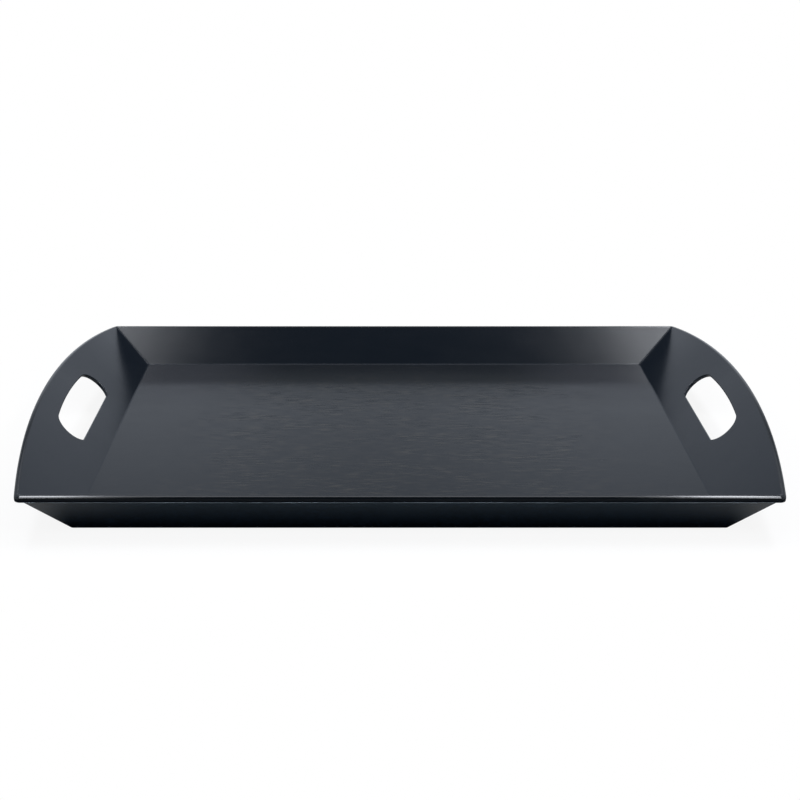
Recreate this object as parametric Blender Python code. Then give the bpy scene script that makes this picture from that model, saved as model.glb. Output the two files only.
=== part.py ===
"""Moulded serving tray: flared mitred walls, arched ends with grip openings, and an overhanging rim.

Metres, +Z up. The tray's length lies along X, its front is towards -Y, and it stands on z = 0.
"""
import math

import bmesh
import bpy

# Flat floor between the walls
FLOOR_LENGTH = 0.412
FLOOR_WIDTH = 0.2876
FLOOR_THICKNESS = 0.0024

# Heights from the moulding's underside to the rim's top
SIDE_HEIGHT = 0.0303
ARCH_RISE = 0.0148

# Walls: the end walls lean out further than the long side walls
END_SLOPE = math.radians(45)
SIDE_SLOPE = math.radians(60)
WALL_THICKNESS = 0.0028
FLOOR_FILLET = 0.0015
MITRE_RADIUS = 0.0012
BASE_EDGE_RADIUS = 0.001
BASE_CORNER_RADIUS = 0.0015

# Rim: a narrow bead, rounded over its outer edge, that overhangs the walls' outer faces
RIM_WIDTH = 0.0032
RIM_DROP = 0.0040
RIM_INNER_RADIUS = 0.0008
RIM_OUTER_RADIUS = 0.0023
RIM_EDGE_RADIUS = 0.0004

# Grip openings, hung below the middle of each arch
GRIP_LENGTH = 0.098
GRIP_STRIP = 0.0153
GRIP_CROWN = 0.002
GRIP_END_RADIUS = 0.01285
GRIP_FLAT = 0.0015
GRIP_CORNER_RADIUS = 0.0009
GRIP_EDGE_RADIUS = 0.0008

# Non-slip feet in round sockets under the floor
FOOT_STANDOFF = 0.0012
FOOT_RADIUS = 0.007
FOOT_EDGE_RADIUS = 0.0004
FOOT_INSET = 0.026
SOCKET_DEPTH = 0.001
SEAT_GAP = 0.0003

# Mark left by the moulding gate, at the middle of the underside
GATE_RADIUS = 0.004
GATE_DEPTH = 0.0004
GATE_NUB_RADIUS = 0.001
GATE_NUB_TOP_RADIUS = 0.0008
GATE_NUB_HEIGHT = 0.0002

# How far a cut runs past the face that it leaves
OVERRUN = 0.0015

# Segment counts
ARCH_SEGMENTS = 28
CORNER_SEGMENTS = 5
BEND_SEGMENTS = 4
GRIP_END_SEGMENTS = 10
GRIP_TOP_SEGMENTS = 10
GRIP_CORNER_SEGMENTS = 2
FOOT_SIDES = 28

# Walls, worked out from the sizes above
WALL_RISE = SIDE_HEIGHT - FLOOR_THICKNESS
END_RUN = WALL_RISE / math.tan(END_SLOPE)
SIDE_RUN = WALL_RISE / math.tan(SIDE_SLOPE)
END_PUSH = WALL_THICKNESS / math.sin(END_SLOPE)
SIDE_PUSH = WALL_THICKNESS / math.sin(SIDE_SLOPE)
ARCH_HALF_SPAN = FLOOR_WIDTH / 2 + SIDE_RUN
CORE_HALF_WIDTH = ARCH_HALF_SPAN - MITRE_RADIUS
ARCH_SAG = ARCH_RISE / math.sin(END_SLOPE)
CREST_UP = WALL_RISE / math.sin(END_SLOPE) + ARCH_SAG

# Grip opening, measured up the end wall from the floor's edge
GRIP_TOP = CREST_UP - GRIP_STRIP
GRIP_END_CENTRE = GRIP_TOP - GRIP_CROWN - GRIP_END_RADIUS
GRIP_BOTTOM = GRIP_END_CENTRE - GRIP_END_RADIUS + GRIP_FLAT


def arch_rise(y):
    """Height that the arch of an end wall adds at y: a circular arc in the wall's own plane."""
    if abs(y) >= ARCH_HALF_SPAN:
        return 0
    radius = (ARCH_HALF_SPAN ** 2 + ARCH_SAG ** 2) / (2 * ARCH_SAG)
    up_the_wall = math.sqrt(radius ** 2 - y ** 2) - (radius - ARCH_SAG)
    return up_the_wall * math.sin(END_SLOPE)


def station(end_point, side_point, corner_radius, arched):
    """One ring round the tray: (outset, height) on the end walls and on the side walls."""
    return {"end": end_point, "side": side_point, "radius": corner_radius, "arched": arched}


def ring_points(ring):
    """Points of a ring, anticlockwise from the right-hand end wall's front corner."""
    half_x = FLOOR_LENGTH / 2 + ring["end"][0]
    half_y = FLOOR_WIDTH / 2 + ring["side"][0]
    radius = ring["radius"]
    quarter = []
    for step in range(ARCH_SEGMENTS // 2 + 1):
        y = (half_y - radius) * step / (ARCH_SEGMENTS // 2)
        quarter.append((half_x, y, ring["end"][1]))
    for step in range(1, CORNER_SEGMENTS + 1):
        share = step / CORNER_SEGMENTS
        angle = share * math.pi / 2
        x = half_x - radius + radius * math.cos(angle)
        y = half_y - radius + radius * math.sin(angle)
        z = ring["end"][1] + (ring["side"][1] - ring["end"][1]) * share
        quarter.append((x, y, z))
    raised = []
    for x, y, z in quarter:
        rise = arch_rise(y) if ring["arched"] else 0
        raised.append((x + rise / math.tan(END_SLOPE), y, z + rise))
    front_right = [(x, -y, z) for x, y, z in reversed(raised)]
    back_left = [(-x, y, z) for x, y, z in reversed(raised)]
    front_left = [(-x, -y, z) for x, y, z in raised]
    return front_right[:-1] + raised + back_left[:-1] + front_left


def wall_point(height, slope, push):
    """Outset of a wall's face at a height above the underside."""
    return (height - FLOOR_THICKNESS) / math.tan(slope) + push


def floor_bend(share, slope):
    """Point on the fillet from the floor up to a wall's inner face."""
    angle = share * slope
    start = -FLOOR_FILLET * math.tan(slope / 2)
    return start + FLOOR_FILLET * math.sin(angle), FLOOR_THICKNESS + FLOOR_FILLET * (1 - math.cos(angle))


def rim_inner_bend(share, slope, run):
    """Point on the bend from a wall's inner face to the rim's top."""
    angle = slope * (1 - share)
    end = run + RIM_INNER_RADIUS * math.tan(slope / 2)
    return end - RIM_INNER_RADIUS * math.sin(angle), SIDE_HEIGHT - RIM_INNER_RADIUS * (1 - math.cos(angle))


def rim_outer_bend(share, run):
    """Point on the bend from the rim's top to its upright outer face."""
    angle = share * math.pi / 2
    centre = run + RIM_WIDTH - RIM_OUTER_RADIUS
    return centre + RIM_OUTER_RADIUS * math.sin(angle), SIDE_HEIGHT - RIM_OUTER_RADIUS * (1 - math.cos(angle))


def base_bend(share, slope, push):
    """Point on the rounded edge from a wall's outer face to the underside."""
    angle = slope * (1 - share)
    end = wall_point(0, slope, push) - BASE_EDGE_RADIUS * math.tan(slope / 2)
    return end + BASE_EDGE_RADIUS * math.sin(angle), BASE_EDGE_RADIUS * (1 - math.cos(angle))


def arched_station(end_point, side_point):
    """A ring that follows the arch, with its corners round one common centre line."""
    radius = FLOOR_WIDTH / 2 + side_point[0] - CORE_HALF_WIDTH
    return station(end_point, side_point, radius, True)


def under_rim_stations():
    """The rim's lower edge, and the line where its flat underside meets the walls' outer faces."""
    low = SIDE_HEIGHT - RIM_DROP
    section = [(RIM_WIDTH, low + RIM_EDGE_RADIUS), (RIM_WIDTH - RIM_EDGE_RADIUS, low)]
    rings = [arched_station((END_RUN + out, z), (SIDE_RUN + out, z)) for out, z in section]
    end_point = (wall_point(low, END_SLOPE, END_PUSH), low)
    side_point = (wall_point(low, SIDE_SLOPE, SIDE_PUSH), low)
    return rings + [arched_station(end_point, side_point)]


def shell_stations():
    """All rings from the floor over the rim and down to the underside."""
    bend_shares = [step / BEND_SEGMENTS for step in range(BEND_SEGMENTS + 1)]
    rings = []
    for share in bend_shares:
        end_point = floor_bend(share, END_SLOPE)
        side_point = floor_bend(share, SIDE_SLOPE)
        rings.append(station(end_point, side_point, MITRE_RADIUS, False))
    for share in bend_shares:
        end_point = rim_inner_bend(share, END_SLOPE, END_RUN)
        side_point = rim_inner_bend(share, SIDE_SLOPE, SIDE_RUN)
        radius = MITRE_RADIUS + max(side_point[0] - SIDE_RUN, 0)
        rings.append(station(end_point, side_point, radius, True))
    for share in bend_shares:
        rings.append(arched_station(rim_outer_bend(share, END_RUN), rim_outer_bend(share, SIDE_RUN)))
    rings += under_rim_stations()
    for share in bend_shares:
        end_point = base_bend(share, END_SLOPE, END_PUSH)
        side_point = base_bend(share, SIDE_SLOPE, SIDE_PUSH)
        rings.append(station(end_point, side_point, BASE_CORNER_RADIUS, False))
    return rings


def lofted_mesh(name, rings):
    """Closed mesh through rings of equal count, with a flat face at the first and last ring."""
    shape = bmesh.new()
    loops = [[shape.verts.new(point) for point in ring] for ring in rings]
    for lower, upper in zip(loops, loops[1:]):
        for index in range(len(lower)):
            after = (index + 1) % len(lower)
            shape.faces.new((lower[index], lower[after], upper[after], upper[index]))
    shape.faces.new(list(reversed(loops[0])))
    shape.faces.new(loops[-1])
    bmesh.ops.recalc_face_normals(shape, faces=shape.faces)
    mesh = bpy.data.meshes.new(name)
    shape.to_mesh(mesh)
    shape.free()
    return mesh


def merge_flat_faces(mesh):
    """Joins neighbouring faces that lie in one plane, such as the strips of a wall."""
    shape = bmesh.new()
    shape.from_mesh(mesh)
    flat_angle = math.radians(0.01)
    bmesh.ops.dissolve_limit(shape, angle_limit=flat_angle, verts=shape.verts, edges=shape.edges)
    shape.to_mesh(mesh)
    shape.free()


def plain_material(name, colour, roughness):
    """Principled material of one colour."""
    material = bpy.data.materials.new(name)
    material.use_nodes = True
    shader = material.node_tree.nodes["Principled BSDF"]
    shader.inputs["Base Color"].default_value = (*colour, 1)
    shader.inputs["Roughness"].default_value = roughness
    shader.inputs["Metallic"].default_value = 0
    return material


def place(name, mesh, location, parent=None):
    """Adds an object to the scene."""
    item = bpy.data.objects.new(name, mesh)
    item.location = location
    item.parent = parent
    bpy.context.scene.collection.objects.link(item)
    return item


def cut(body, name, mesh):
    """Cuts a mesh, given in the body's own frame, out of the body."""
    cutter = place(name, mesh, (0, 0, 0), body)
    cutter.hide_render = True
    cutter.display_type = "WIRE"
    difference = body.modifiers.new(name, "BOOLEAN")
    difference.operation = "DIFFERENCE"
    difference.solver = "EXACT"
    difference.object = cutter


def arc(centre, radius, start, stop, segments):
    """Points on a circular arc, both ends included."""
    points = []
    for step in range(segments + 1):
        angle = start + (stop - start) * step / segments
        points.append((centre[0] + radius * math.cos(angle), centre[1] + radius * math.sin(angle)))
    return points


def grip_outline(grow):
    """Outline of a grip opening in the wall's plane, as (along, up), grown outwards by an amount.

    A flat lower edge with small corners, two round ends, and a long arc above them that meets both.
    """
    reach = GRIP_LENGTH / 2 - GRIP_END_RADIUS
    above = GRIP_TOP - GRIP_END_CENTRE
    top_radius = (reach ** 2 + above ** 2 - GRIP_END_RADIUS ** 2) / (2 * (above - GRIP_END_RADIUS))
    top_centre = (0, GRIP_TOP - top_radius)
    end_centre = (reach, GRIP_END_CENTRE)
    meet = math.atan2(end_centre[1] - top_centre[1], reach)
    drop = GRIP_END_CENTRE - GRIP_BOTTOM - GRIP_CORNER_RADIUS
    inside = GRIP_END_RADIUS - GRIP_CORNER_RADIUS
    corner_centre = (reach + math.sqrt(inside ** 2 - drop ** 2), GRIP_BOTTOM + GRIP_CORNER_RADIUS)
    turn = -math.asin(drop / inside)
    corner = arc(corner_centre, GRIP_CORNER_RADIUS + grow, -math.pi / 2, turn, GRIP_CORNER_SEGMENTS)
    end = arc(end_centre, GRIP_END_RADIUS + grow, turn, meet, GRIP_END_SEGMENTS)
    top = arc(top_centre, top_radius + grow, meet, math.pi - meet, GRIP_TOP_SEGMENTS)
    right = corner[:-1] + end[:-1]
    left = [(-along, up) for along, up in reversed(right)]
    return right + top + left


def grip_sections():
    """(depth, growth) pairs through the wall: rounded edge, straight bore, rounded edge."""
    angles = [math.pi / 2 * step / (BEND_SEGMENTS + 1) for step in range(BEND_SEGMENTS + 1)]
    bend = [(GRIP_EDGE_RADIUS * (1 - math.sin(a)), GRIP_EDGE_RADIUS * (1 - math.cos(a))) for a in angles]
    last, before = bend[-1], bend[-2]
    flare = (last[1] - before[1]) / (before[0] - last[0])
    bend.append((-OVERRUN, last[1] + flare * (last[0] + OVERRUN)))
    inner = list(reversed(bend))
    outer = [(WALL_THICKNESS - depth, grow) for depth, grow in bend]
    return inner + outer


def grip_cutter(side):
    """Cutter for the grip opening of one end wall: side is 1 on the right and -1 on the left."""
    rings = []
    for depth, grow in grip_sections():
        ring = []
        for along, up in grip_outline(grow):
            outset = up * math.cos(END_SLOPE) + depth * math.sin(END_SLOPE)
            height = up * math.sin(END_SLOPE) - depth * math.cos(END_SLOPE)
            ring.append((side * (FLOOR_LENGTH / 2 + outset), along, FLOOR_THICKNESS + height))
        rings.append(ring)
    return lofted_mesh("grip_cutter", rings)


def turned_mesh(name, profile, centre, sides=FOOT_SIDES):
    """Closed mesh turned about a vertical line through the centre, from (radius, height) pairs."""
    rings = []
    for radius, height in profile:
        ring = []
        for step in range(sides):
            angle = 2 * math.pi * step / sides
            ring.append((centre[0] + radius * math.cos(angle), centre[1] + radius * math.sin(angle), height))
        rings.append(ring)
    return lofted_mesh(name, rings)


def foot_places():
    """Name and position of each foot, set in from the floor's corners."""
    x = FLOOR_LENGTH / 2 - FOOT_INSET
    y = FLOOR_WIDTH / 2 - FOOT_INSET
    return {
        "foot_front_left": (-x, -y),
        "foot_front_right": (x, -y),
        "foot_back_left": (-x, y),
        "foot_back_right": (x, y),
    }


def make_tray_body():
    """The moulded shell with its grip openings, foot sockets and gate mark."""
    mesh = lofted_mesh("tray_body", [ring_points(ring) for ring in shell_stations()])
    merge_flat_faces(mesh)
    body = place("tray_body", mesh, (0, 0, FOOT_STANDOFF))
    mesh.materials.append(plain_material("moulded_plastic", (0.022, 0.025, 0.030), 0.38))
    cut(body, "grip_cutter_left", grip_cutter(-1))
    cut(body, "grip_cutter_right", grip_cutter(1))
    socket_radius = FOOT_RADIUS + SEAT_GAP
    socket = [(socket_radius, -OVERRUN), (socket_radius, SOCKET_DEPTH)]
    for name, centre in foot_places().items():
        cut(body, name.replace("foot", "socket_cutter"), turned_mesh("socket_cutter", socket, centre))
    gate = [
        (GATE_RADIUS, -OVERRUN),
        (GATE_RADIUS, GATE_DEPTH),
        (GATE_NUB_RADIUS, GATE_DEPTH),
        (GATE_NUB_TOP_RADIUS, GATE_DEPTH - GATE_NUB_HEIGHT),
    ]
    cut(body, "gate_cutter", turned_mesh("gate_cutter", gate, (0, 0)))
    return body


def make_feet():
    """Four rubber pads, each standing in its socket with a thin seat gap all round."""
    rubber = plain_material("foot_rubber", (0.030, 0.030, 0.032), 0.80)
    top = FOOT_STANDOFF + SOCKET_DEPTH - SEAT_GAP
    bevel = FOOT_RADIUS - FOOT_EDGE_RADIUS
    profile = [
        (bevel, 0),
        (FOOT_RADIUS, FOOT_EDGE_RADIUS),
        (FOOT_RADIUS, top - FOOT_EDGE_RADIUS),
        (bevel, top),
    ]
    for name, (x, y) in foot_places().items():
        mesh = turned_mesh(name, profile, (0, 0))
        mesh.materials.append(rubber)
        place(name, mesh, (x, y, 0))


for leftover in list(bpy.data.objects):
    bpy.data.objects.remove(leftover, do_unlink=True)
make_tray_body()
make_feet()
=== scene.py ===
"""Looks of the moulded serving tray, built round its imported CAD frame.

Metres, +Z up, in the frame of the CAD. The tray's front is towards -Y.
"""

import math

import bmesh
import bpy
from mathutils import Matrix, Vector


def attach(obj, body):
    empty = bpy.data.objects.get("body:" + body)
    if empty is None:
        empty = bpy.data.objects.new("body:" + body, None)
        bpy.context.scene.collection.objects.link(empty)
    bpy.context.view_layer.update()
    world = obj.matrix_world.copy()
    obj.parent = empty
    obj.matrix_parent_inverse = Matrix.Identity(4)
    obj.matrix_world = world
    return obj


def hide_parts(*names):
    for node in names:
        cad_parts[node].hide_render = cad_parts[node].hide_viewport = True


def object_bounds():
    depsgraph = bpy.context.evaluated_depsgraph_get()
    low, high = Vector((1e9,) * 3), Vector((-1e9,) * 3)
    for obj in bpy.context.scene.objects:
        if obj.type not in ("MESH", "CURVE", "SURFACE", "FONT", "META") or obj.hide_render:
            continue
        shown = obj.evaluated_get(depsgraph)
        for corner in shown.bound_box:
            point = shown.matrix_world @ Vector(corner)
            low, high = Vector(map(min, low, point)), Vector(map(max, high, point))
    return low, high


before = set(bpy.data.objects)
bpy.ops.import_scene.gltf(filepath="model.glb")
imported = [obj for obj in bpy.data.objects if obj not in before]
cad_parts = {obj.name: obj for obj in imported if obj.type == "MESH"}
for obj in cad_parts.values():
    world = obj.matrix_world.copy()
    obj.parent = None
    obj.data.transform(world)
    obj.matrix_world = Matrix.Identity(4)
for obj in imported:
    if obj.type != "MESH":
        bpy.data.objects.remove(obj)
CAD_BOX = [list(corner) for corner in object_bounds()]

# Flat floor between the walls
FLOOR_LENGTH = 0.412
FLOOR_WIDTH = 0.2876
FLOOR_THICKNESS = 0.0024

# Heights from the moulding's underside to the rim's top
SIDE_HEIGHT = 0.0303
ARCH_RISE = 0.0148

# Walls
END_SLOPE = math.radians(45)
SIDE_SLOPE = math.radians(60)
WALL_THICKNESS = 0.0028
FLOOR_FILLET = 0.0015
MITRE_RADIUS = 0.0012
BASE_EDGE_RADIUS = 0.001
BASE_CORNER_RADIUS = 0.0015

# Rim
RIM_WIDTH = 0.0032
RIM_DROP = 0.0040
RIM_INNER_RADIUS = 0.0008
RIM_OUTER_RADIUS = 0.0023
RIM_EDGE_RADIUS = 0.0004

# Grip openings
GRIP_LENGTH = 0.098
GRIP_STRIP = 0.0153
GRIP_CROWN = 0.002
GRIP_END_RADIUS = 0.01285
GRIP_FLAT = 0.0015
GRIP_CORNER_RADIUS = 0.0009
GRIP_EDGE_RADIUS = 0.0008

# Feet, their sockets and the gate mark
FOOT_STANDOFF = 0.0012
FOOT_RADIUS = 0.007
FOOT_EDGE_RADIUS = 0.0004
FOOT_INSET = 0.026
FOOT_GROOVES = 3
FOOT_GROOVE_DEPTH = 0.00012
GROOVE_SLOPE_SHARE = 0.25
SOCKET_DEPTH = 0.001
SEAT_GAP = 0.0003
GATE_RADIUS = 0.004
GATE_DEPTH = 0.0004
GATE_NUB_RADIUS = 0.001
GATE_NUB_TOP_RADIUS = 0.0008
GATE_NUB_HEIGHT = 0.0002

# How far a cutter runs past the face that it opens
OVERRUN = 0.0015

# Segment counts
ARCH_SEGMENTS = 96
CORNER_SEGMENTS = 12
BEND_SEGMENTS = 8
GRIP_END_SEGMENTS = 28
GRIP_TOP_SEGMENTS = 40
GRIP_CORNER_SEGMENTS = 6
GRIP_BEND_SEGMENTS = 6
TURNED_SIDES = 96

# Edges that turn further than this are shaded sharp, and the largest faces set the normals
SHARP_ANGLE = math.radians(32)
AREA_WEIGHT = 100

# Walls and grips, worked out from the sizes above. A RUN is how far a wall leans out, and a PUSH
# is its thickness measured level.
WALL_RISE = SIDE_HEIGHT - FLOOR_THICKNESS
END_RUN = WALL_RISE / math.tan(END_SLOPE)
SIDE_RUN = WALL_RISE / math.tan(SIDE_SLOPE)
END_PUSH = WALL_THICKNESS / math.sin(END_SLOPE)
SIDE_PUSH = WALL_THICKNESS / math.sin(SIDE_SLOPE)
ARCH_HALF_SPAN = FLOOR_WIDTH / 2 + SIDE_RUN
CORE_HALF_WIDTH = ARCH_HALF_SPAN - MITRE_RADIUS
ARCH_SAG = ARCH_RISE / math.sin(END_SLOPE)
CREST_UP = WALL_RISE / math.sin(END_SLOPE) + ARCH_SAG
GRIP_TOP = CREST_UP - GRIP_STRIP
GRIP_END_CENTRE = GRIP_TOP - GRIP_CROWN - GRIP_END_RADIUS
GRIP_BOTTOM = GRIP_END_CENTRE - GRIP_END_RADIUS + GRIP_FLAT


# Shape of the shell

def arch_rise(y):
    """Height that the arch of an end wall adds at y: a circular arc in the wall's own plane."""
    if abs(y) >= ARCH_HALF_SPAN:
        return 0
    radius = (ARCH_HALF_SPAN ** 2 + ARCH_SAG ** 2) / (2 * ARCH_SAG)
    up_the_wall = math.sqrt(radius ** 2 - y ** 2) - (radius - ARCH_SAG)
    return up_the_wall * math.sin(END_SLOPE)


def station(end_point, side_point, corner_radius, arched):
    """One ring round the tray: (outset, height) on the end walls and on the side walls."""
    return {"end": end_point, "side": side_point, "radius": corner_radius, "arched": arched}


def ring_points(ring):
    """Points of a ring, anticlockwise from the right-hand end wall's front corner."""
    half_x = FLOOR_LENGTH / 2 + ring["end"][0]
    half_y = FLOOR_WIDTH / 2 + ring["side"][0]
    radius = ring["radius"]
    quarter = []
    for step in range(ARCH_SEGMENTS // 2 + 1):
        y = (half_y - radius) * step / (ARCH_SEGMENTS // 2)
        quarter.append((half_x, y, ring["end"][1]))
    for step in range(1, CORNER_SEGMENTS + 1):
        share = step / CORNER_SEGMENTS
        angle = share * math.pi / 2
        x = half_x - radius + radius * math.cos(angle)
        y = half_y - radius + radius * math.sin(angle)
        z = ring["end"][1] + (ring["side"][1] - ring["end"][1]) * share
        quarter.append((x, y, z))
    raised = []
    for x, y, z in quarter:
        rise = arch_rise(y) if ring["arched"] else 0
        raised.append((x + rise / math.tan(END_SLOPE), y, z + rise))
    front_right = [(x, -y, z) for x, y, z in reversed(raised)]
    back_left = [(-x, y, z) for x, y, z in reversed(raised)]
    front_left = [(-x, -y, z) for x, y, z in raised]
    return front_right[:-1] + raised + back_left[:-1] + front_left


def wall_point(height, slope, push):
    """Outset of a wall's face at a height above the underside."""
    return (height - FLOOR_THICKNESS) / math.tan(slope) + push


def floor_bend(share, slope):
    """Point on the fillet from the floor up to a wall's inner face."""
    angle = share * slope
    start = -FLOOR_FILLET * math.tan(slope / 2)
    return start + FLOOR_FILLET * math.sin(angle), FLOOR_THICKNESS + FLOOR_FILLET * (1 - math.cos(angle))


def rim_inner_bend(share, slope, run):
    """Point on the bend from a wall's inner face to the rim's top."""
    angle = slope * (1 - share)
    end = run + RIM_INNER_RADIUS * math.tan(slope / 2)
    return end - RIM_INNER_RADIUS * math.sin(angle), SIDE_HEIGHT - RIM_INNER_RADIUS * (1 - math.cos(angle))


def rim_outer_bend(share, run):
    """Point on the bend from the rim's top to its upright outer face."""
    angle = share * math.pi / 2
    centre = run + RIM_WIDTH - RIM_OUTER_RADIUS
    outset = centre + RIM_OUTER_RADIUS * math.sin(angle)
    return outset, SIDE_HEIGHT - RIM_OUTER_RADIUS * (1 - math.cos(angle))


def rim_lower_bend(share, run):
    """Point on the small bend from the rim's outer face to its underside."""
    angle = share * math.pi / 2
    low = SIDE_HEIGHT - RIM_DROP
    centre = run + RIM_WIDTH - RIM_EDGE_RADIUS
    return centre + RIM_EDGE_RADIUS * math.cos(angle), low + RIM_EDGE_RADIUS * (1 - math.sin(angle))


def base_bend(share, slope, push):
    """Point on the rounded edge from a wall's outer face to the underside."""
    angle = slope * (1 - share)
    end = wall_point(0, slope, push) - BASE_EDGE_RADIUS * math.tan(slope / 2)
    return end + BASE_EDGE_RADIUS * math.sin(angle), BASE_EDGE_RADIUS * (1 - math.cos(angle))


def arched_station(end_point, side_point):
    """A ring that follows the arch, with its corners round one common centre line."""
    radius = FLOOR_WIDTH / 2 + side_point[0] - CORE_HALF_WIDTH
    return station(end_point, side_point, radius, True)


def under_rim_station():
    """The line where the rim's flat underside meets the walls' outer faces."""
    low = SIDE_HEIGHT - RIM_DROP
    end_point = (wall_point(low, END_SLOPE, END_PUSH), low)
    side_point = (wall_point(low, SIDE_SLOPE, SIDE_PUSH), low)
    return arched_station(end_point, side_point)


def shell_stations():
    """All rings from the floor over the rim and down to the underside."""
    bend_shares = [step / BEND_SEGMENTS for step in range(BEND_SEGMENTS + 1)]
    rings = []
    for share in bend_shares:
        end_point = floor_bend(share, END_SLOPE)
        side_point = floor_bend(share, SIDE_SLOPE)
        rings.append(station(end_point, side_point, MITRE_RADIUS, False))
    for share in bend_shares:
        end_point = rim_inner_bend(share, END_SLOPE, END_RUN)
        side_point = rim_inner_bend(share, SIDE_SLOPE, SIDE_RUN)
        radius = MITRE_RADIUS + max(side_point[0] - SIDE_RUN, 0)
        rings.append(station(end_point, side_point, radius, True))
    for share in bend_shares:
        rings.append(arched_station(rim_outer_bend(share, END_RUN), rim_outer_bend(share, SIDE_RUN)))
    for share in bend_shares:
        rings.append(arched_station(rim_lower_bend(share, END_RUN), rim_lower_bend(share, SIDE_RUN)))
    rings.append(under_rim_station())
    for share in bend_shares:
        end_point = base_bend(share, END_SLOPE, END_PUSH)
        side_point = base_bend(share, SIDE_SLOPE, SIDE_PUSH)
        rings.append(station(end_point, side_point, BASE_CORNER_RADIUS, False))
    return rings


# Mesh tools

def lofted_mesh(name, rings, slots=None):
    """Closed mesh through rings of equal count, with a flat face at the first and last ring."""
    shape = bmesh.new()
    loops = [[shape.verts.new(point) for point in ring] for ring in rings]
    slots = slots or [0] * len(rings)
    for lower, upper, slot in zip(loops, loops[1:], slots):
        for index in range(len(lower)):
            after = (index + 1) % len(lower)
            face = shape.faces.new((lower[index], lower[after], upper[after], upper[index]))
            face.material_index = slot
    shape.faces.new(list(reversed(loops[0])))
    shape.faces.new(loops[-1])
    bmesh.ops.recalc_face_normals(shape, faces=shape.faces)
    mesh = bpy.data.meshes.new(name)
    shape.to_mesh(mesh)
    shape.free()
    return mesh


def add_object(name, data):
    """Links a mesh, camera or lamp into the scene as an object."""
    item = bpy.data.objects.new(name, data)
    bpy.context.scene.collection.objects.link(item)
    return item


def cut_out(body, cutters):
    """Cuts meshes out of the body and keeps the result as its own mesh."""
    tools = []
    for index, mesh in enumerate(cutters):
        tool = add_object("cutter_%d" % index, mesh)
        tools.append(tool)
        difference = body.modifiers.new(tool.name, "BOOLEAN")
        difference.operation = "DIFFERENCE"
        difference.solver = "EXACT"
        difference.object = tool
    graph = bpy.context.evaluated_depsgraph_get()
    result = bpy.data.meshes.new_from_object(body.evaluated_get(graph))
    body.modifiers.clear()
    body.data = result
    for tool in tools:
        bpy.data.objects.remove(tool, do_unlink=True)


def shade_smooth(item):
    """Smooth shading that keeps large faces flat and true corners sharp."""
    shape = bmesh.new()
    shape.from_mesh(item.data)
    for face in shape.faces:
        face.smooth = True
    for edge in shape.edges:
        edge.smooth = edge.calc_face_angle(0) < SHARP_ANGLE
    shape.to_mesh(item.data)
    shape.free()
    normals = item.modifiers.new("normals", "WEIGHTED_NORMAL")
    normals.mode = "FACE_AREA"
    normals.weight = AREA_WEIGHT
    normals.keep_sharp = True


def arc(centre, radius, start, stop, segments):
    """Points on a circular arc, both ends included."""
    points = []
    for step in range(segments + 1):
        angle = start + (stop - start) * step / segments
        points.append((centre[0] + radius * math.cos(angle), centre[1] + radius * math.sin(angle)))
    return points


def grip_outline(grow):
    """Outline of a grip opening in the wall's plane, as (along, up), grown outwards by an amount."""
    reach = GRIP_LENGTH / 2 - GRIP_END_RADIUS
    above = GRIP_TOP - GRIP_END_CENTRE
    top_radius = (reach ** 2 + above ** 2 - GRIP_END_RADIUS ** 2) / (2 * (above - GRIP_END_RADIUS))
    top_centre = (0, GRIP_TOP - top_radius)
    end_centre = (reach, GRIP_END_CENTRE)
    meet = math.atan2(end_centre[1] - top_centre[1], reach)
    drop = GRIP_END_CENTRE - GRIP_BOTTOM - GRIP_CORNER_RADIUS
    inside = GRIP_END_RADIUS - GRIP_CORNER_RADIUS
    corner_centre = (reach + math.sqrt(inside ** 2 - drop ** 2), GRIP_BOTTOM + GRIP_CORNER_RADIUS)
    turn = -math.asin(drop / inside)
    corner = arc(corner_centre, GRIP_CORNER_RADIUS + grow, -math.pi / 2, turn, GRIP_CORNER_SEGMENTS)
    end = arc(end_centre, GRIP_END_RADIUS + grow, turn, meet, GRIP_END_SEGMENTS)
    top = arc(top_centre, top_radius + grow, meet, math.pi - meet, GRIP_TOP_SEGMENTS)
    right = corner[:-1] + end[:-1]
    left = [(-along, up) for along, up in reversed(right)]
    return right + top + left


def grip_sections():
    """(depth, growth) pairs through the wall: rounded edge, straight bore, rounded edge."""
    count = GRIP_BEND_SEGMENTS
    angles = [math.pi / 2 * step / (count + 1) for step in range(count + 1)]
    bend = [(GRIP_EDGE_RADIUS * (1 - math.sin(a)), GRIP_EDGE_RADIUS * (1 - math.cos(a))) for a in angles]
    last, before = bend[-1], bend[-2]
    flare = (last[1] - before[1]) / (before[0] - last[0])
    bend.append((-OVERRUN, last[1] + flare * (last[0] + OVERRUN)))
    inner = list(reversed(bend))
    outer = [(WALL_THICKNESS - depth, grow) for depth, grow in bend]
    return inner + outer


def grip_cutter(side):
    """Cutter for the grip opening of one end wall: side is 1 on the right and -1 on the left."""
    rings = []
    for depth, grow in grip_sections():
        ring = []
        for along, up in grip_outline(grow):
            outset = up * math.cos(END_SLOPE) + depth * math.sin(END_SLOPE)
            height = up * math.sin(END_SLOPE) - depth * math.cos(END_SLOPE)
            ring.append((side * (FLOOR_LENGTH / 2 + outset), along, FLOOR_THICKNESS + height))
        rings.append(ring)
    return lofted_mesh("grip_cutter", rings)


def turned_mesh(name, profile, centre):
    """Closed mesh turned about a vertical line through the centre, from (radius, height) pairs."""
    rings = []
    for radius, height in profile:
        ring = []
        for step in range(TURNED_SIDES):
            angle = 2 * math.pi * step / TURNED_SIDES
            ring.append((centre[0] + radius * math.cos(angle), centre[1] + radius * math.sin(angle), height))
        rings.append(ring)
    return lofted_mesh(name, rings)


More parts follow.
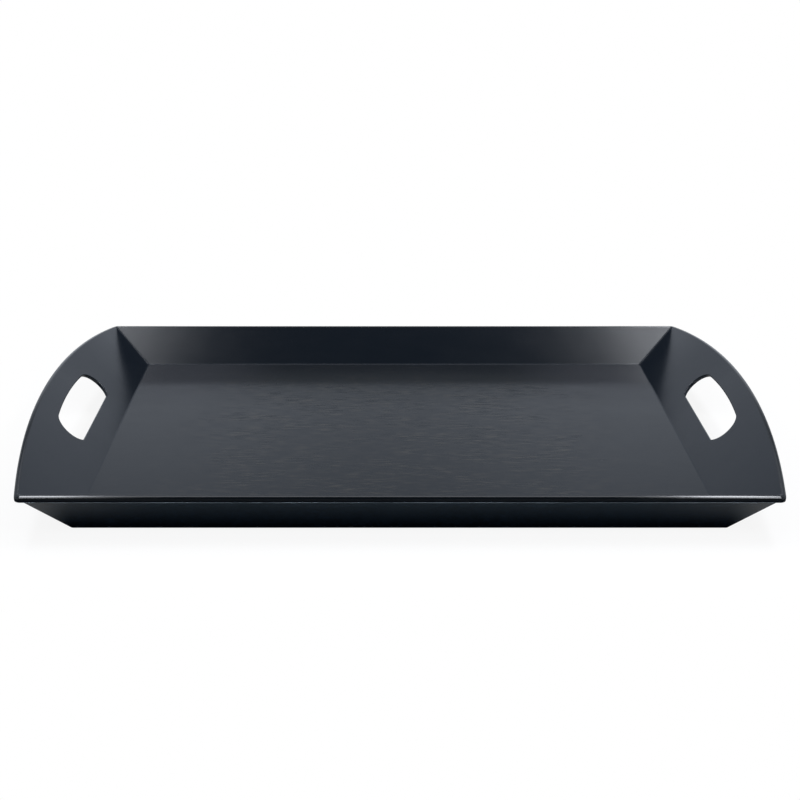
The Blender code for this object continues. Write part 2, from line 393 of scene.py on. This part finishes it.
def foot_places():
    """Name and position of each foot, set in from the floor's corners."""
    x = FLOOR_LENGTH / 2 - FOOT_INSET
    y = FLOOR_WIDTH / 2 - FOOT_INSET
    return {"front_left": (-x, -y), "front_right": (x, -y), "back_left": (-x, y), "back_right": (x, y)}


# Node tools

# Sockets of a Mix node that hold its two colours and its result
MIX_FIRST = 6
MIX_SECOND = 7
MIX_RESULT = 2


def new_material(name, colour, roughness):
    """Principled material, with its node tree, its shader and its object coordinates."""
    material = bpy.data.materials.new(name)
    material.use_nodes = True
    tree = material.node_tree
    shader = tree.nodes["Principled BSDF"]
    shader.inputs["Base Color"].default_value = (*colour, 1)
    shader.inputs["Roughness"].default_value = roughness
    place = tree.nodes.new("ShaderNodeTexCoord").outputs["Object"]
    return material, tree, shader, place


def noise(tree, place, stretch, detail, roughness, distortion=0.0):
    """Noise whose features are 1/stretch metres long along each axis."""
    mapping = tree.nodes.new("ShaderNodeMapping")
    mapping.inputs["Scale"].default_value = stretch
    tree.links.new(place, mapping.inputs["Vector"])
    texture = tree.nodes.new("ShaderNodeTexNoise")
    texture.inputs["Scale"].default_value = 1
    texture.inputs["Detail"].default_value = detail
    texture.inputs["Roughness"].default_value = roughness
    texture.inputs["Distortion"].default_value = distortion
    tree.links.new(mapping.outputs["Vector"], texture.inputs["Vector"])
    return texture.outputs["Fac"]


def axes_of(tree, vector):
    """X, Y and Z of a vector, as outputs by name."""
    node = tree.nodes.new("ShaderNodeSeparateXYZ")
    tree.links.new(vector, node.inputs["Vector"])
    return node.outputs


def ramped(tree, value, low, high, low_out, high_out):
    """Value stretched from one range to another, without going past its ends."""
    node = tree.nodes.new("ShaderNodeMapRange")
    node.inputs["From Min"].default_value = low
    node.inputs["From Max"].default_value = high
    node.inputs["To Min"].default_value = low_out
    node.inputs["To Max"].default_value = high_out
    tree.links.new(value, node.inputs["Value"])
    return node.outputs["Result"]


def smooth_step(tree, value, low, high, start=0):
    """Start below one value, 1 above the other, and smooth between them."""
    node = tree.nodes.new("ShaderNodeMapRange")
    node.interpolation_type = "SMOOTHSTEP"
    node.inputs["From Min"].default_value = low
    node.inputs["From Max"].default_value = high
    node.inputs["To Min"].default_value = start
    tree.links.new(value, node.inputs["Value"])
    return node.outputs["Result"]


def combined(tree, operation, *values):
    """Result of a math operation on two or more outputs, taken one after another."""
    result = values[0]
    for value in values[1:]:
        node = tree.nodes.new("ShaderNodeMath")
        node.operation = operation
        tree.links.new(result, node.inputs[0])
        tree.links.new(value, node.inputs[1])
        result = node.outputs["Value"]
    return result


def added(tree, first, second, weight):
    """First value plus the second times a weight."""
    node = tree.nodes.new("ShaderNodeMath")
    node.operation = "MULTIPLY_ADD"
    tree.links.new(second, node.inputs[0])
    node.inputs[1].default_value = weight
    tree.links.new(first, node.inputs[2])
    return node.outputs["Value"]


def magnitude(tree, value):
    """Value without its sign."""
    node = tree.nodes.new("ShaderNodeMath")
    node.operation = "ABSOLUTE"
    tree.links.new(value, node.inputs[0])
    return node.outputs["Value"]


def mixed(tree, factor, first, second):
    """Colour between two, by a factor. Each is a colour or another node's output."""
    node = tree.nodes.new("ShaderNodeMix")
    node.data_type = "RGBA"
    tree.links.new(factor, node.inputs["Factor"])
    for index, colour in ((MIX_FIRST, first), (MIX_SECOND, second)):
        if isinstance(colour, bpy.types.NodeSocket):
            tree.links.new(colour, node.inputs[index])
        else:
            node.inputs[index].default_value = (*colour, 1)
    return node.outputs[MIX_RESULT]


def mixed_shader(tree, factor, first, second):
    """Shader between two, by a factor."""
    node = tree.nodes.new("ShaderNodeMixShader")
    tree.links.new(factor, node.inputs["Fac"])
    tree.links.new(first, node.inputs[1])
    tree.links.new(second, node.inputs[2])
    return node.outputs["Shader"]


def bumped(tree, shader, height, depth):
    """Bump of a real depth in metres on the shader's normal."""
    node = tree.nodes.new("ShaderNodeBump")
    node.inputs["Strength"].default_value = 1
    node.inputs["Distance"].default_value = depth
    tree.links.new(height, node.inputs["Height"])
    tree.links.new(node.outputs["Normal"], shader.inputs["Normal"])


# Materials

# A RANGE holds the values of a noise between which it takes effect, a REACH the places between
# which something changes, in metres, and an UNEVEN the lowest and the highest roughness.
NOISE_RANGE = (0.3, 0.7)
SKIN_NOISE = {"stretch": (2400, 2400, 2400), "detail": 2, "roughness": 0.5}

# Walls
PLASTIC_COLOUR = (0.0053, 0.0083, 0.0130)
PLASTIC_ROUGHNESS = 0.20
PLASTIC_UNEVEN = (0.18, 0.22)
PLASTIC_SPECULAR = 0.3
FLOW_COLOUR = (0.0086, 0.0114, 0.0163)
FLOW_NOISE = {"stretch": (9, 60, 60), "detail": 4, "roughness": 0.6, "distortion": 0.8}
FLOW_RANGE = (0.35, 0.75)
FLOW_SHARE = 0.55
CLOUD_NOISE = {"stretch": (22, 22, 30), "detail": 3, "roughness": 0.55, "distortion": 0.4}
CLOUD_WEIGHT = 4
SKIN_DEPTH = 0.000006

# Lean of the shading towards the back wall, on the walls and on the floor. Its reach is along Y.
LEAN_DEPTH = 0.0018
WALL_LEAN_REACH = (0.015, 0.130)
FLOOR_LEAN_REACH = (0.050, 0.148)

# Rim. Its base colour is darker than the walls' as painted shade for the rim's dark face.
RIM_PAINTED_SHADE_COLOUR = (0.0010, 0.0022, 0.0040)
RIM_ROUGHNESS = 0.14
RIM_UNEVEN = (0.11, 0.18)
RIM_SPECULAR = 0.5
RIM_CLOUD_NOISE = {"stretch": (30, 30, 60), "detail": 3, "roughness": 0.6}
RIM_CLOUD_WEIGHT = 3
NICK_COLOUR = (0.0050, 0.0070, 0.0100)
NICK_NOISE = {"stretch": (260, 900, 900), "detail": 3, "roughness": 0.6}
NICK_RANGE = (0.62, 0.80)
NICK_DEPTH = 0.00001

# Painted highlight along the rim's lower edge: a pale colour in place of the light that edge catches
EDGE_GLINT_DIM = (0.120, 0.130, 0.145)
EDGE_GLINT_BRIGHT = (0.500, 0.520, 0.550)
EDGE_GLINT_ROUGHNESS = 0.45
EDGE_GLINT_NOISE = {"stretch": (35, 35, 35), "detail": 4, "roughness": 0.6}
EDGE_GLINT_RANGE = (0.50, 0.85)
SPECK_NOISE = {"stretch": (600, 600, 600), "detail": 2, "roughness": 0.5}
SPECK_WEIGHT = 0.3
SPECK_DEPTH = 0.00002

# Grain of the floor: the ENDS reach is along X from the middle, the BACK reach is along Y
GRAIN_NOISE = {"stretch": (80, 560, 40), "detail": 1, "roughness": 0.5}
GRAIN_PALE = (0.0245, 0.0232, 0.0212)
GRAIN_PALE_RANGE = (0.50, 0.70)
GRAIN_DULL_RANGE = (0.48, 0.32)
GRAIN_DULL_ROUGHNESS = 0.15
GRAIN_ENDS_REACH = (0.10, 0.18)
GRAIN_BACK_REACH = (0.080, 0.125)
GRAIN_EDGE_SHARE = 0.2
GRAIN_DEPTH = 0.00002
PATCH_NOISE = {"stretch": (22, 60, 20), "detail": 2, "roughness": 0.5}
PATCH_RANGE = (0.35, 0.65)
PATCH_SHARE = 0.3
SKIN_WEIGHT = 0.03

# Tone of the floor: its own colour in the middle, painted light over its back half, a painted reflection in
# its back corners, and painted shade at the foot of the back wall
FLOOR_COLOUR = (0.0030, 0.0050, 0.0080)
FLOOR_ROUGHNESS = 0.18
FLOOR_UNEVEN = (0.16, 0.20)
FLOOR_PAINTED_LIGHT_COLOUR = (0.0085, 0.0108, 0.0134)
FLOOR_PAINTED_LIGHT_REACH = (0.03, 0.12)
FLOOR_PAINTED_REFLECTION_COLOUR = (0.0200, 0.0220, 0.0270)
FLOOR_PAINTED_REFLECTION_REACH = (0.08, 0.17)
FLOOR_PAINTED_SHADE_REACH = (0.110, 0.136)

# Rubber of the feet
RUBBER_COLOUR = (0.028, 0.028, 0.030)
RUBBER_DARK = (0.026, 0.026, 0.028)
RUBBER_DUSTY = (0.060, 0.058, 0.055)
RUBBER_ROUGHNESS = 0.8
RUBBER_UNEVEN = (0.7, 0.9)
RUBBER_NOISE = {"stretch": (1600, 1600, 1600), "detail": 4, "roughness": 0.6}
RUBBER_DEPTH = 0.00004
DUST_NOISE = {"stretch": (240, 240, 240), "detail": 3, "roughness": 0.6}
DUST_RANGE = (0.45, 0.7)


def make_plastic():
    """Satin moulded plastic: fine texture, faint flow marks and a slight lean of the shading."""
    material, tree, shader, place = new_material("tray_plastic", PLASTIC_COLOUR, PLASTIC_ROUGHNESS)
    fine = noise(tree, place, **SKIN_NOISE)
    cloud = noise(tree, place, **CLOUD_NOISE)
    marks = ramped(tree, noise(tree, place, **FLOW_NOISE), *FLOW_RANGE, 0, FLOW_SHARE)
    tree.links.new(mixed(tree, marks, PLASTIC_COLOUR, FLOW_COLOUR), shader.inputs["Base Color"])
    tree.links.new(ramped(tree, cloud, *NOISE_RANGE, *PLASTIC_UNEVEN), shader.inputs["Roughness"])
    shader.inputs["Specular IOR Level"].default_value = PLASTIC_SPECULAR
    lean = smooth_step(tree, axes_of(tree, place)["Y"], *WALL_LEAN_REACH)
    relief = added(tree, added(tree, fine, cloud, CLOUD_WEIGHT), lean, LEAN_DEPTH / SKIN_DEPTH)
    bumped(tree, shader, relief, SKIN_DEPTH)
    return material


def make_rim_plastic():
    """The rim: the same plastic, polished by handling and darkened as painted shade, with a few fine nicks.
    """
    material, tree, shader, place = new_material("tray_rim_plastic", RIM_PAINTED_SHADE_COLOUR, RIM_ROUGHNESS)
    nicks = noise(tree, place, **NICK_NOISE)
    cloud = noise(tree, place, **RIM_CLOUD_NOISE)
    marks = ramped(tree, nicks, *NICK_RANGE, 0, 1)
    tree.links.new(mixed(tree, marks, RIM_PAINTED_SHADE_COLOUR, NICK_COLOUR), shader.inputs["Base Color"])
    tree.links.new(ramped(tree, cloud, *NOISE_RANGE, *RIM_UNEVEN), shader.inputs["Roughness"])
    shader.inputs["Specular IOR Level"].default_value = RIM_SPECULAR
    bumped(tree, shader, added(tree, nicks, cloud, RIM_CLOUD_WEIGHT), NICK_DEPTH)
    return material


def make_edge_glint_paint():
    """Painted highlight on the rim's lower edge: a pale, broken line in place of light caught there,
    slightly rough and uneven.
    """
    material, tree, shader, place = new_material("tray_edge_glint_paint", EDGE_GLINT_BRIGHT, EDGE_GLINT_ROUGHNESS)
    patch = noise(tree, place, **EDGE_GLINT_NOISE)
    speck = noise(tree, place, **SPECK_NOISE)
    # Patches and specks break up the painted highlight
    glint_share = ramped(tree, added(tree, patch, speck, SPECK_WEIGHT), *EDGE_GLINT_RANGE, 0, 1)
    tree.links.new(mixed(tree, glint_share, EDGE_GLINT_DIM, EDGE_GLINT_BRIGHT), shader.inputs["Base Color"])
    bumped(tree, shader, speck, SPECK_DEPTH)
    return material


def make_grained_plastic():
    """The floor's face: pale and dull dashes along the tray, weaker at its ends and back, on a tone with
    painted light, reflection and shade.
    """
    material, tree, shader, place = new_material("tray_floor_plastic", PLASTIC_COLOUR, FLOOR_ROUGHNESS)
    streak = noise(tree, place, **GRAIN_NOISE)
    patch = noise(tree, place, **PATCH_NOISE)
    fine = noise(tree, place, **SKIN_NOISE)
    axes = axes_of(tree, place)
    across = magnitude(tree, axes["X"])

    ends = smooth_step(tree, across, *GRAIN_ENDS_REACH)
    back = smooth_step(tree, axes["Y"], *GRAIN_BACK_REACH)
    kept = ramped(tree, combined(tree, "MAXIMUM", ends, back), 0, 1, 1, GRAIN_EDGE_SHARE)
    strength = combined(tree, "MULTIPLY", ramped(tree, patch, *PATCH_RANGE, PATCH_SHARE, 1), kept)
    pale = combined(tree, "MULTIPLY", ramped(tree, streak, *GRAIN_PALE_RANGE, 0, 1), strength)
    dull = combined(tree, "MULTIPLY", ramped(tree, streak, *GRAIN_DULL_RANGE, 0, 1), strength)

    # Painted shade at the foot of the back wall, painted light over the back half, and a painted reflection
    # in the back corners
    foot = smooth_step(tree, axes["Y"], *FLOOR_PAINTED_SHADE_REACH)
    corner = smooth_step(tree, across, *FLOOR_PAINTED_REFLECTION_REACH)
    behind = smooth_step(tree, axes["Y"], *FLOOR_PAINTED_LIGHT_REACH)
    tone_with_painted_light = mixed(tree, foot, FLOOR_PAINTED_LIGHT_COLOUR, FLOOR_COLOUR)
    tone_with_painted_light = mixed(tree, corner, tone_with_painted_light, FLOOR_PAINTED_REFLECTION_COLOUR)
    tone_with_painted_light = mixed(tree, behind, FLOOR_COLOUR, tone_with_painted_light)
    tree.links.new(mixed(tree, pale, tone_with_painted_light, GRAIN_PALE), shader.inputs["Base Color"])

    rough = ramped(tree, patch, *NOISE_RANGE, *FLOOR_UNEVEN)
    tree.links.new(added(tree, rough, dull, GRAIN_DULL_ROUGHNESS), shader.inputs["Roughness"])
    shader.inputs["Specular IOR Level"].default_value = PLASTIC_SPECULAR
    lean = smooth_step(tree, axes["Y"], *FLOOR_LEAN_REACH)
    relief = added(tree, added(tree, streak, fine, SKIN_WEIGHT), lean, LEAN_DEPTH / GRAIN_DEPTH)
    bumped(tree, shader, relief, GRAIN_DEPTH)
    return material


def make_rubber():
    """Matt rubber of the feet, with a dusty tread."""
    material, tree, shader, place = new_material("pad_rubber", RUBBER_COLOUR, RUBBER_ROUGHNESS)
    speck = noise(tree, place, **RUBBER_NOISE)
    dust = ramped(tree, noise(tree, place, **DUST_NOISE), *DUST_RANGE, 0, 1)
    tree.links.new(mixed(tree, dust, RUBBER_DARK, RUBBER_DUSTY), shader.inputs["Base Color"])
    tree.links.new(ramped(tree, speck, *NOISE_RANGE, *RUBBER_UNEVEN), shader.inputs["Roughness"])
    bumped(tree, shader, speck, RUBBER_DEPTH)
    return material


# Pieces

# Material slots of the tray
WALL_SLOT = 0
FLOOR_SLOT = 1
RIM_SLOT = 2
# The rim's lower edge, which carries a painted highlight
EDGE_GLINT_SLOT = 3

# Least Z of a level face's normal, and how close to the floor's top such a face lies
LEVEL_NORMAL = 0.999
LEVEL_GAP = 0.0003


def band_slots():
    """Material slot of each band of faces between two rings, in the order of the stations."""
    bend = BEND_SEGMENTS + 1
    slots = [WALL_SLOT] * bend
    slots += [RIM_SLOT] * (2 * bend)
    slots += [EDGE_GLINT_SLOT] * (bend - 1)
    slots += [RIM_SLOT]
    slots += [WALL_SLOT] * bend
    return slots


def underside_cutters():
    """Cutters for the gate mark in the middle and for the four sockets of the feet."""
    gate = [
        (GATE_RADIUS, -OVERRUN),
        (GATE_RADIUS, GATE_DEPTH),
        (GATE_NUB_RADIUS, GATE_DEPTH),
        (GATE_NUB_TOP_RADIUS, GATE_DEPTH - GATE_NUB_HEIGHT),
    ]
    socket_radius = FOOT_RADIUS + SEAT_GAP
    socket = [(socket_radius, -OVERRUN), (socket_radius, SOCKET_DEPTH)]
    cutters = [turned_mesh("gate_cutter", gate, (0, 0))]
    cutters += [turned_mesh("socket_cutter", socket, centre) for centre in foot_places().values()]
    return cutters


def make_tray():
    """The moulded shell, with its grips, sockets and gate mark cut out of it."""
    mesh = lofted_mesh("tray_shell", [ring_points(ring) for ring in shell_stations()], band_slots())
    for material in (make_plastic(), make_grained_plastic(), make_rim_plastic(), make_edge_glint_paint()):
        mesh.materials.append(material)
    tray = add_object("tray_shell", mesh)
    cut_out(tray, [grip_cutter(-1), grip_cutter(1)] + underside_cutters())
    tray.data.transform(Matrix.Translation((0, 0, FOOT_STANDOFF)))
    floor_top = FLOOR_THICKNESS + FOOT_STANDOFF
    for face in tray.data.polygons:
        if face.normal.z > LEVEL_NORMAL and abs(face.center.z - floor_top) < LEVEL_GAP:
            face.material_index = FLOOR_SLOT
    shade_smooth(tray)
    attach(tray, "root")
    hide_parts("tray_body")


def foot_profile():
    """(radius, height) pairs of a pad from its ringed tread to its top."""
    top = FOOT_STANDOFF + SOCKET_DEPTH - SEAT_GAP
    bevel = FOOT_RADIUS - FOOT_EDGE_RADIUS
    pitch = bevel / (2 * FOOT_GROOVES + 1)
    profile = []
    for index in range(1, 2 * FOOT_GROOVES, 2):
        slope_end = index + GROOVE_SLOPE_SHARE
        slope_start = index + 1 - GROOVE_SLOPE_SHARE
        for radius, sunk in ((index, 0), (slope_end, 1), (slope_start, 1), (index + 1, 0)):
            profile.append((radius * pitch, sunk * FOOT_GROOVE_DEPTH))
    lower = arc((bevel, FOOT_EDGE_RADIUS), FOOT_EDGE_RADIUS, -math.pi / 2, 0, BEND_SEGMENTS)
    upper = arc((bevel, top - FOOT_EDGE_RADIUS), FOOT_EDGE_RADIUS, 0, math.pi / 2, BEND_SEGMENTS)
    return profile + lower + upper


def make_feet():
    """Four round rubber pads with a ringed tread."""
    rubber = make_rubber()
    for name, (x, y) in foot_places().items():
        foot = add_object("foot_pad_" + name, turned_mesh("foot_pad", foot_profile(), (x, y)))
        foot.data.materials.append(rubber)
        shade_smooth(foot)
        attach(foot, "root")
        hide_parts("foot_" + name)


# Camera and stage

# Fitted to the photograph, in metres, radians and pixels of its frame. The sensor is in mm.
CAMERA_PLACE = (-0.013277, -0.874616, 0.383362)
CAMERA_PITCH = 0.3844
FOCAL_PIXELS = 1296.2
SHIFT_PIXELS = 21.65
FRAME_PIXELS = 800
SENSOR_WIDTH = 36
CLIP_NEAR = 0.01
CLIP_FAR = 50


def make_camera():
    """The photograph's viewpoint, level and turned down a little."""
    data = bpy.data.cameras.new("camera")
    data.sensor_width = SENSOR_WIDTH
    data.lens = FOCAL_PIXELS * SENSOR_WIDTH / FRAME_PIXELS
    data.shift_x = SHIFT_PIXELS / FRAME_PIXELS
    data.clip_start = CLIP_NEAR
    data.clip_end = CLIP_FAR
    camera = add_object("camera", data)
    camera.location = CAMERA_PLACE
    camera.rotation_euler = (math.pi / 2 - CAMERA_PITCH, 0, 0)
    bpy.context.scene.camera = camera


# What the camera sees of the floor is pale, and turns white away from the tray's box. The fade
# gives the distances where it starts and ends, and the white share that it starts from.
STAGE_HALF = 6
STAGE_SEEN_COLOUR = (0.90, 0.90, 0.90)
STAGE_FADE = (0.0, 0.080, 0.90)

# What the floor sends on to the tray is a painted shadow close to its foot, pale in a ring round the foot,
# and painted shade beyond the ring. Each reach is a distance outside the foot.
STAGE_PAINTED_SHADOW = (0.01, 0.02, 0.03)
STAGE_COLOUR = (0.75, 0.92, 1.00)
STAGE_PAINTED_DARK = (0.06, 0.07, 0.08)
STAGE_PAINTED_SHADOW_REACH = (0.003, 0.028)
STAGE_PAINTED_DARK_REACH = (0.036, 0.060)

# Gloss shows white far from the box, and a painted glow in the ring round the foot towards the tray's ends
STAGE_GLOSS_FAR_REACH = (0.15, 0.70)
STAGE_GLOW_NEAR_REACH = (0.004, 0.030)
STAGE_GLOW_ENDS_REACH = (0.14, 0.28)


def background_rays(tree):
    """Two outputs: 1 for camera and transmission rays, and 1 for glossy rays."""
    rays = tree.nodes.new("ShaderNodeLightPath").outputs
    seen = combined(tree, "MAXIMUM", rays["Is Camera Ray"], rays["Is Transmission Ray"])
    return seen, rays["Is Glossy Ray"]


def distance_outside(tree, place, half_x, half_y):
    """Distance of a point on the floor from a rectangle round the middle."""
    vector = place
    for operation, other in (("ABSOLUTE", None), ("SUBTRACT", (half_x, half_y, 0)), ("MAXIMUM", (0, 0, 0))):
        node = tree.nodes.new("ShaderNodeVectorMath")
        node.operation = operation
        tree.links.new(vector, node.inputs[0])
        if other:
            node.inputs[1].default_value = other
        vector = node.outputs["Vector"]
    length = tree.nodes.new("ShaderNodeVectorMath")
    length.operation = "LENGTH"
    tree.links.new(vector, length.inputs[0])
    return length.outputs["Value"]


def make_stage_material():
    """Pale floor that keeps the tray's shadow and turns white away from the tray. What it sends on to the
    tray holds a painted shadow, painted shade and a painted glow.
    """
    material, tree, shader, place = new_material("stage_white", STAGE_COLOUR, 1)
    shader.inputs["Specular IOR Level"].default_value = 0
    seen, glossy = background_rays(tree)
    from_foot = distance_outside(tree, place, FLOOR_LENGTH / 2, FLOOR_WIDTH / 2)
    from_box = distance_outside(tree, place, CAD_BOX[1][0], CAD_BOX[1][1])

    # Painted shadow round the tray's foot and painted shade beyond the pale ring, for rays other than the
    # camera's
    painted_shade = mixed(tree, smooth_step(tree, from_foot, *STAGE_PAINTED_SHADOW_REACH), STAGE_PAINTED_SHADOW, STAGE_COLOUR)
    painted_shade = mixed(tree, smooth_step(tree, from_foot, *STAGE_PAINTED_DARK_REACH), painted_shade, STAGE_PAINTED_DARK)
    tree.links.new(mixed(tree, seen, painted_shade, STAGE_SEEN_COLOUR), shader.inputs["Base Color"])

    away = combined(tree, "MULTIPLY", seen, smooth_step(tree, from_box, *STAGE_FADE))
    far = smooth_step(tree, from_box, *STAGE_GLOSS_FAR_REACH)
    ends = smooth_step(tree, magnitude(tree, axes_of(tree, place)["X"]), *STAGE_GLOW_ENDS_REACH)
    near = smooth_step(tree, from_foot, *STAGE_GLOW_NEAR_REACH)
    # A painted glow, seen only in gloss, in the ring round the foot towards the tray's ends
    ring = combined(tree, "MULTIPLY", ends, near, ramped(tree, from_foot, *STAGE_PAINTED_DARK_REACH, 1, 0))
    mirrored = combined(tree, "MULTIPLY", glossy, combined(tree, "MAXIMUM", far, ring))

    white = tree.nodes.new("ShaderNodeEmission").outputs["Emission"]
    factor = combined(tree, "MAXIMUM", away, mirrored)
    surface = mixed_shader(tree, factor, shader.outputs["BSDF"], white)
    tree.links.new(surface, tree.nodes["Material Output"].inputs["Surface"])
    return material


def make_stage():
    """Plain square floor under the tray."""
    shape = bmesh.new()
    half = STAGE_HALF
    corners = [(-half, -half), (half, -half), (half, half), (-half, half)]
    shape.faces.new([shape.verts.new((x, y, 0)) for x, y in corners])
    mesh = bpy.data.meshes.new("stage_floor")
    shape.to_mesh(mesh)
    shape.free()
    mesh.materials.append(make_stage_material())
    add_object("stage_floor", mesh)


# Lamps and world

LAMP_COLOUR = (0.96, 0.99, 1.05)
LAMP_AIM = (0, 0, 0.02)
STRIP_AIM = (0, 0.05, 0.02)
CORNER_SIZE = (0.16, 0.30)
STRIP_SIZE = (0.70, 0.10)
OVERHEAD_SIZE = (1.5, 0.5)

# Name, place, aim, size in metres and power in watts
LAMPS = [
    ("front_left", (-0.44, -0.50, 0.60), LAMP_AIM, CORNER_SIZE, 1.25),
    ("front_right", (0.44, -0.50, 0.60), LAMP_AIM, CORNER_SIZE, 1.65),
    ("strip_left", (-0.425, 0.05, 0.75), STRIP_AIM, STRIP_SIZE, 2.8),
    ("strip_right", (0.41, 0.05, 0.75), STRIP_AIM, STRIP_SIZE, 3.6),
    ("overhead", (0, 0.10, 1.30), LAMP_AIM, OVERHEAD_SIZE, 6),
]


def soft_box(name, place, aim, size, power):
    """Rectangular soft light, aimed at a point and not seen by the camera."""
    data = bpy.data.lights.new(name, "AREA")
    data.shape = "RECTANGLE"
    data.size, data.size_y = size
    data.energy = power
    data.color = LAMP_COLOUR
    lamp = add_object(name, data)
    lamp.location = place
    lamp.rotation_euler = (Vector(aim) - Vector(place)).to_track_quat("-Z", "Y").to_euler()
    lamp.visible_camera = False


def make_lights():
    """Small soft boxes at the front corners, strips over the sides, and a wide one above."""
    for lamp in LAMPS:
        soft_box(*lamp)


WHITE = (1, 1, 1)
SURROUND = (0.06, 0.07, 0.08)
BACKDROP_COLOUR = (0.76, 0.82, 0.92)

# Where the backdrop starts and ends along one axis of the direction, which is 1 long. A third
# number is the level that it starts from.
BEHIND_Y = (0.70, 0.95)
BEHIND_X = (0.0, 0.20, 0.74)
BEHIND_Z = (0.42, 0.46)
BEHIND_TOP_LEVEL = 0.70
BESIDE_X = (0.48, 0.64)
BESIDE_LEVEL = 0.6
ABOVE_Y = (0.10, 0.35)
ABOVE_Z = (0.52, 0.62)
ABOVE_END_Z = (0.90, 0.97)


def background(tree, colour):
    """Background of one colour."""
    node = tree.nodes.new("ShaderNodeBackground")
    node.inputs["Color"].default_value = (*colour, 1)
    return node.outputs["Background"]


def make_world():
    """White where it is seen, dim where it lights, and a pale backdrop for gloss.

    The backdrop lies behind the tray, palest towards its ends, beside it and high behind it.
    """
    world = bpy.data.worlds.new("studio")
    world.use_nodes = True
    tree = world.node_tree
    surround = tree.nodes["Background"]
    surround.inputs["Color"].default_value = (*SURROUND, 1)
    axes = axes_of(tree, tree.nodes.new("ShaderNodeTexCoord").outputs["Generated"])
    across = magnitude(tree, axes["X"])

    depth = smooth_step(tree, axes["Y"], *BEHIND_Y)
    width = smooth_step(tree, across, *BEHIND_X)
    height = ramped(tree, axes["Z"], *BEHIND_Z, 1, BEHIND_TOP_LEVEL)
    behind = combined(tree, "MULTIPLY", depth, width, height)
    beside = ramped(tree, across, *BESIDE_X, 0, BESIDE_LEVEL)
    end = ramped(tree, axes["Z"], *ABOVE_END_Z, 1, 0)
    start = smooth_step(tree, axes["Z"], *ABOVE_Z)
    above = combined(tree, "MULTIPLY", end, start, smooth_step(tree, axes["Y"], *ABOVE_Y))
    level = combined(tree, "MAXIMUM", behind, beside, above)

    seen, glossy = background_rays(tree)
    mirrored = combined(tree, "MULTIPLY", glossy, level)
    surface = surround.outputs["Background"]
    surface = mixed_shader(tree, mirrored, surface, background(tree, BACKDROP_COLOUR))
    surface = mixed_shader(tree, seen, surface, background(tree, WHITE))
    tree.links.new(surface, tree.nodes["World Output"].inputs["Surface"])
    bpy.context.scene.world = world


bpy.context.scene.view_settings.view_transform = "Standard"
make_tray()
make_feet()
make_camera()
make_stage()
make_lights()
make_world()
